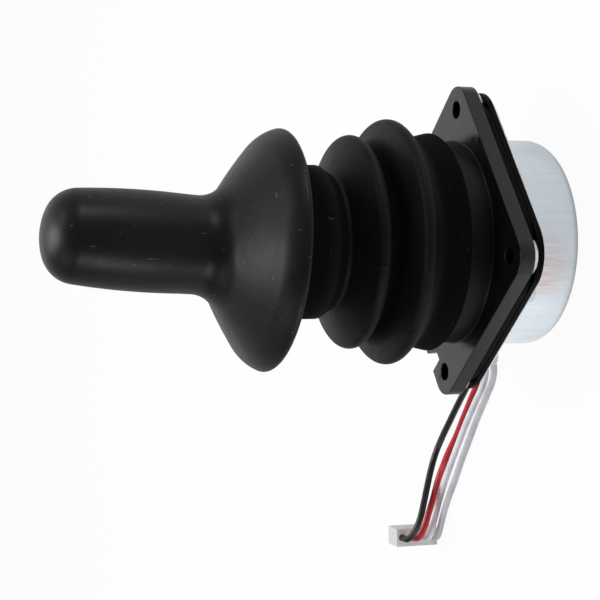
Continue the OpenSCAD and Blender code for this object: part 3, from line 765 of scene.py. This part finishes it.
# Knob and gaiter
def lean(point, r, z):
    """Tips a point with the knob, which sits a little crooked on its shaft; the bore stays upright."""
    if r <= core_r + TINY and z <= core_high.z - face_z + TINY:
        return point
    pivot = Vector((0, 0, face_z + lean_at))
    turn = Matrix.Rotation(math.radians(lean_dir), 3, "Z") @ Matrix.Rotation(math.radians(lean_deg), 3, "Y")
    back = Matrix.Rotation(math.radians(-lean_dir), 3, "Z")
    return pivot + turn @ back @ (point - pivot)


def bulged(start, end, rise, n):
    """Points between two (r, z) points on a slightly arched line, without its ends."""
    run = Vector(end) - Vector(start)
    out = Vector((run.y, -run.x)).normalized()
    steps = [i / n for i in range(1, n)]
    return [tuple(Vector(start) + run * s + out * 4 * rise * s * (1 - s)) for s in steps]


def make_knob():
    """Bore and hollow, lip, rim, skirt, flare, grip and dome, tipped as one."""
    slope = math.radians(skirt_slope)
    edge = (rim_r - rim_edge, rim_at)
    curve = polar(edge, rim_edge - skirt_round, rim_turn)
    skirt_r, skirt_z = polar(curve, skirt_round, skirt_slope)
    roof_z = skirt_z + (skirt_r - hollow_r) / math.tan(slope) - skirt_wall / math.sin(slope)
    bore_top = core_high.z - face_z
    outline = [(core_r, bore_top), (core_r, roof_z), (hollow_r - hollow_step - skirt_wall, roof_z),
               (lip_r, lip_high), (lip_r, lip_low)]
    outline += arc((lip_r + lip_edge, lip_low), lip_edge, *lip_arc, 3)
    outline += arc(edge, rim_edge, rim_under, rim_turn, 12)
    outline += arc(curve, skirt_round, rim_turn, skirt_slope, 16)[1:]
    flare = arc(flare_at, flare_r, 180 + skirt_slope, 180, 18)
    outline += bulged(outline[-1], flare[0], skirt_bulge, 10) + flare
    outline += arc((grip_r - grip_round, grip_at), grip_round, grip_start, grip_end, 14)
    outline += arc(shoulder_at, shoulder_round, grip_end, dome_start, 14)[1:]
    outline += arc((0, knob_top - dome_round), dome_round, dome_start, 90, 8)[1:]
    outline += [(0, bore_top)]
    dress(revolve("knob_skin", outline, face_z, 256, place=lean), "rubber_black", "lever", "knob")


def gaiter_low_outline():
    """The gaiter from its foot on the boss to the middle of the groove between the folds."""
    foot_r = boss_r + gaiter_wall
    boss_h = boss_top - face_z
    outside = [(boss_r, foot_at), (foot_r - foot_edge[0], foot_at), (foot_r, foot_at + foot_edge[1])]
    outside += arc(valley_at, valley_round, *valley_arc, 12)
    outside += arc((fold_low_r - crest_round, fold_low_at), crest_round, *fold_low_arc, 20)
    outside += arc(groove_at, groove_round, *groove_low_arc, 6)
    inside = arc(groove_at, groove_round + fold_wall, *groove_low_arc[::-1], 6)
    inside += [(fold_low_r - fold_wall, fold_low_at)]
    inside += arc(valley_at, valley_round + fold_wall, *valley_inside, 5)
    return outside + inside + [(boss_r - foot_lap, boss_h), (boss_r, boss_h)]


def gaiter_high_outline():
    """The gaiter from the middle of the groove to its mouth round the collar."""
    thick = groove_round + fold_wall
    inner_r = neck_r - gaiter_wall
    outside = arc(groove_at, groove_round, *groove_high_arc, 5)
    outside += arc((fold_high_r - crest_round, fold_high_at), crest_round, *fold_high_arc, 20)
    outside += arc(throat_at, groove_round, *throat_arc, 10)
    outside += arc((neck_r - neck_edge, neck_at), neck_edge, *neck_arc, 6)
    outside += arc((neck_r - mouth_edge, gaiter_top - mouth_edge), mouth_edge, 0, 90, 6)
    inside = [(mouth_r, gaiter_top), (mouth_r, gaiter_seat),
              (inner_r, gaiter_seat), (inner_r, neck_at - neck_edge)]
    inside += arc(throat_at, thick, *throat_arc[::-1], 10) + [(fold_high_r - fold_wall, fold_high_at)]
    return outside + inside + arc(groove_at, thick, *groove_high_arc[::-1], 5)


def make_gaiter():
    """Two pieces that meet in the groove between the folds."""
    lower = revolve("gaiter_lower", gaiter_low_outline(), face_z, 224, seam_az)
    dress_bending(lower, "gaiter_black", "gaiter")
    upper = revolve("gaiter_upper", gaiter_high_outline(), face_z, 224, seam_az)
    dress_bending(upper, "gaiter_black", "gaiter")


# Plate, seal, frame, can and spacers
def mount_holes():
    """Outlines of the four mounting holes."""
    return [circle(x, y, hole_r) for x, y in corners()]


def screw_holes():
    """Outlines of the holes for the screws that hold the layers together."""
    x, y = flange_screw
    return [circle(side * x, end * y, flange_screw_r, 24) for side in (-1, 1) for end in (-1, 1)]


def can_mouth():
    """Outline of the can's open end."""
    return circle(0, 0, can_r - can_wall, 128)


def make_plate():
    """The notched square plate and the boss on it."""
    loops = [square_outline(notch=True), circle(0, 0, boss_r - boss_lap, 128)] + mount_holes()
    slab = layer("mounting_plate", loops, plate_z, face_z, plate_edge)
    dress(slab, "plate_black", "base", "front_plate")
    inner_r = boss_r - boss_wall
    outline = [(boss_r + boss_fillet, face_z - boss_sink)]
    outline += arc((boss_r + boss_fillet, face_z + boss_fillet), boss_fillet, 270, 180, 10)
    outline += arc((boss_r - boss_edge, boss_top - boss_edge), boss_edge, 0, 90, 4)
    outline += [(lid_hole_r, boss_top), (lid_hole_r, boss_top - lid_t), (inner_r, boss_top - lid_t),
                (inner_r, plate_z + boss_foot), (boss_r - boss_lap, plate_z + boss_foot),
                (boss_r - boss_lap, face_z - boss_sink)]
    boss = revolve("plate_boss", outline)
    dress(boss, "plate_black", "base", "front_plate", finish=BOSS_FINISH)


def make_layers():
    """The seal and the black frame between plate and can."""
    loops = [square_outline(seal_cut), can_mouth()] + screw_holes()
    seal = layer("seal_layer", loops, seal_low.z, seal_high.z, seal_edge)
    dress(seal, "seal_black", "base", "flange_gasket")
    loops = [square_outline(rear_cut), can_mouth()] + screw_holes() + mount_holes()
    rear = layer("rear_layer", loops, rear_low.z, rear_high.z, rear_edge)
    dress(rear, "frame_black", "base", "rear_frame")


def make_can():
    """The drawn can and its square flange."""
    loops = [square_outline(flange_cut, inset=flange_inset), can_mouth()] + screw_holes() + mount_holes()
    flange = layer("can_flange", loops, can_top - can_wall, can_top, flange_edge)
    # painted highlight: the flange's matte white stands in for the bright line along its plated edge
    dress(flange, "zinc_sheet", "base", "can", finish=ZINC_PAINTED_HIGHLIGHT)
    corner = (can_r - can_edge_r, can_edge_r)
    outline = [(0, 0)] + arc(corner, can_edge_r, -90, 0, 14)
    outline += arc((can_r + can_bend_r, can_bend_at), can_bend_r, 180, 100, 5)
    outline += [(can_r, can_rim), (can_r - can_wall, can_rim)]
    outline += arc(corner, can_edge_r - can_wall, 0, -90, 12) + [(0, can_wall)]
    dress(revolve("drawn_can", outline, count=224), "zinc_sheet", "base", "can")


def make_spacers():
    """Plated bushes round the mounting holes."""
    inner, low, high = spacer_r - spacer_edge, seal_low.z, seal_high.z
    outline = [(hole_r, low)] + arc((inner, low + spacer_edge), spacer_edge, -90, 0, 3)
    outline += arc((inner, high - spacer_edge), spacer_edge, 0, 90, 3) + [(hole_r, high)]
    rings = []
    for x, y in corners():
        shift = Vector((x, y, 0))
        rings.append(revolve("spacer", outline, count=64, place=lambda point, r, z, by=shift: point + by))
    # painted highlight: the spacers' matte white stands in for the bright crescents of the plated bushes
    dress(joined("hole_spacers", rings), "zinc_small", "base", "corner_spacers", finish=ZINC_PAINTED_HIGHLIGHT)


# Studio: lamps by place, width, depth and power
LAMP_AIM = Vector((0, 0, 0.04))
LAMPS = {
    "overhead": ((-0.106, 0.091, 0.7), 0.28, 0.6, 2.9),
    "left_box": ((0.268, 0.236, 0.602), 0.3, 0.3, 0.45),
    "right_box": ((-0.165, -0.447, 0.511), 0.3, 0.3, 0.35),
    "left_side": ((0.541, 0.226, 0.075), 0.1, 0.1, 0.55),
    "right_side": ((-0.075, -0.582, 0.075), 0.1, 0.1, 0.65),
}

# Floor: its grey, and how much of it is plain white to the eye and to what mirrors it
FLOOR_HALF = 3
FLOOR_DROP = 0.0001
FLOOR_GREY = (0.85, 0.85, 0.85, 1)
FLOOR_ROUGH = 0.9
FLOOR_SEEN = 0.95
FLOOR_MIRRORED = 0.78

# Fades of floor and room along a direction, or outwards: (distance, value) at the start and the end
# Painted shade in the floor's glow that metal and gloss mirror: dimmer to both sides and towards the camera,
# and a painted contact shadow round the can's foot
FLOOR_PAINTED_SHADE = [
    (ASIDE, (-0.03, 1.0), (0.005, 0.66)),
    (ASIDE, (-0.058, 0.52), (-0.03, 1.0)),
    (TOWARDS, (0.05, 1.0), (0.085, 0.3)),
    (None, (0.0185, 0.45), (0.0225, 1.0)),
]
ROOM_FADES = [
    (-TOWARDS, (-0.3, 0.2), (1.0, 0.9)),
    (ASIDE, (-0.5, 0.55), (0.3, 1.0)),
]
BEHIND_FADES = [(-TOWARDS, (0.8, 0.0), (1.0, 1.0))]


def make_camera():
    """The photograph's camera."""
    data = bpy.data.cameras.new("camera")
    data.lens = CAMERA_LENS
    data.sensor_width = CAMERA_SENSOR
    data.clip_start = CAMERA_CLIP
    camera = bpy.data.objects.new("camera", data)
    right = CAMERA_UP.cross(CAMERA_BACK)
    turn = Matrix((right, CAMERA_UP, CAMERA_BACK)).transposed().to_4x4()
    camera.matrix_world = Matrix.Translation(CAMERA_AT) @ turn
    scene.collection.objects.link(camera)
    scene.camera = camera


def make_lamps():
    """Soft round lamps, aimed at the joystick."""
    for name, (place, width, depth, power) in LAMPS.items():
        data = bpy.data.lights.new(name, "AREA")
        data.shape = "ELLIPSE"
        data.size = width
        data.size_y = depth
        data.energy = power
        made = bpy.data.objects.new(name, data)
        made.location = place
        made.rotation_mode = "QUATERNION"
        made.rotation_quaternion = (LAMP_AIM - Vector(place)).to_track_quat("-Z", "Y")
        scene.collection.objects.link(made)


def math_node(tree, operation, first, second):
    """One sum on two sockets or numbers."""
    node = tree.nodes.new("ShaderNodeMath")
    node.operation = operation
    for socket, value in zip(node.inputs, (first, second)):
        if isinstance(value, (int, float)):
            socket.default_value = value
        else:
            tree.links.new(value, socket)
    return node.outputs[0]


def fade(tree, place, direction, start, end):
    """A value that changes smoothly along a direction, or outwards where there is none."""
    along = tree.nodes.new("ShaderNodeVectorMath")
    along.operation = "LENGTH" if direction is None else "DOT_PRODUCT"
    if direction is not None:
        along.inputs[1].default_value = direction
    tree.links.new(place, along.inputs[0])
    change = tree.nodes.new("ShaderNodeMapRange")
    change.interpolation_type = "SMOOTHSTEP"
    for socket, value in zip(("From Min", "To Min", "From Max", "To Max"), start + end):
        change.inputs[socket].default_value = value
    tree.links.new(along.outputs["Value"], change.inputs["Value"])
    return change.outputs["Result"]


def faded(tree, place, rows):
    """Several fades, multiplied."""
    value = fade(tree, place, *rows[0])
    for row in rows[1:]:
        value = math_node(tree, "MULTIPLY", value, fade(tree, place, *row))
    return value


def mix_surface(tree, share, first, second, output):
    """Sends a mix of two shaders to an output."""
    mix = tree.nodes.new("ShaderNodeMixShader")
    tree.links.new(share, mix.inputs[0])
    tree.links.new(first.outputs[0], mix.inputs[1])
    tree.links.new(second.outputs[0], mix.inputs[2])
    tree.links.new(mix.outputs[0], tree.nodes[output].inputs["Surface"])


def make_floor():
    """Pale floor: white to the camera, with painted shade and a painted contact shadow in the glow that
    metal and gloss mirror, and with the object's shadow.
    """
    mesh = bmesh.new()
    bmesh.ops.create_grid(mesh, x_segments=1, y_segments=1, size=FLOOR_HALF)
    floor = as_object("floor", mesh)
    floor.location = (0, 0, -FLOOR_DROP)
    material = bpy.data.materials.new("floor")
    material.use_nodes = True
    tree = material.node_tree
    shader = tree.nodes["Principled BSDF"]
    shader.inputs["Base Color"].default_value = FLOOR_GREY
    shader.inputs["Roughness"].default_value = FLOOR_ROUGH
    shader.inputs["Specular IOR Level"].default_value = 0.0
    path = tree.nodes.new("ShaderNodeLightPath").outputs
    place = tree.nodes.new("ShaderNodeTexCoord").outputs["Object"]
    level = tree.nodes.new("ShaderNodeMix")
    tree.links.new(path["Is Glossy Ray"], level.inputs["Factor"])
    level.inputs["A"].default_value = 1.0
    # painted shade and painted contact shadow in the glow that glossy rays see
    tree.links.new(faded(tree, place, FLOOR_PAINTED_SHADE), level.inputs["B"])
    glow = tree.nodes.new("ShaderNodeEmission")
    tree.links.new(level.outputs["Result"], glow.inputs["Strength"])
    seen = math_node(tree, "MAXIMUM", path["Is Camera Ray"], path["Is Transmission Ray"])
    seen = math_node(tree, "MULTIPLY", seen, FLOOR_SEEN)
    mirrored = math_node(tree, "MULTIPLY", path["Is Glossy Ray"], FLOOR_MIRRORED)
    mix_surface(tree, math_node(tree, "MAXIMUM", seen, mirrored), shader, glow, "Material Output")
    floor.data.materials.append(material)


def make_world():
    """White behind the object, dimmer on the side of the camera."""
    world = bpy.data.worlds.new("studio")
    scene.world = world
    world.use_nodes = True
    tree = world.node_tree
    plain = tree.nodes["Background"]
    plain.inputs["Color"].default_value = (1, 1, 1, 1)
    room = tree.nodes.new("ShaderNodeBackground")
    path = tree.nodes.new("ShaderNodeLightPath").outputs
    place = tree.nodes.new("ShaderNodeTexCoord").outputs["Generated"]
    tree.links.new(faded(tree, place, ROOM_FADES), room.inputs["Strength"])
    seen = math_node(tree, "MAXIMUM", path["Is Camera Ray"], path["Is Transmission Ray"])
    mirrored = math_node(tree, "MULTIPLY", path["Is Glossy Ray"], faded(tree, place, BEHIND_FADES))
    mix_surface(tree, math_node(tree, "MAXIMUM", seen, mirrored), room, plain, "World Output")


# The camera and the cords come first
scene.view_settings.view_transform = "Standard"
make_camera()
finish_cad_nodes()
make_wires()
make_spring()
make_knob()
make_gaiter()
make_plate()
make_layers()
make_can()
make_spacers()
make_floor()
make_world()
make_lamps()
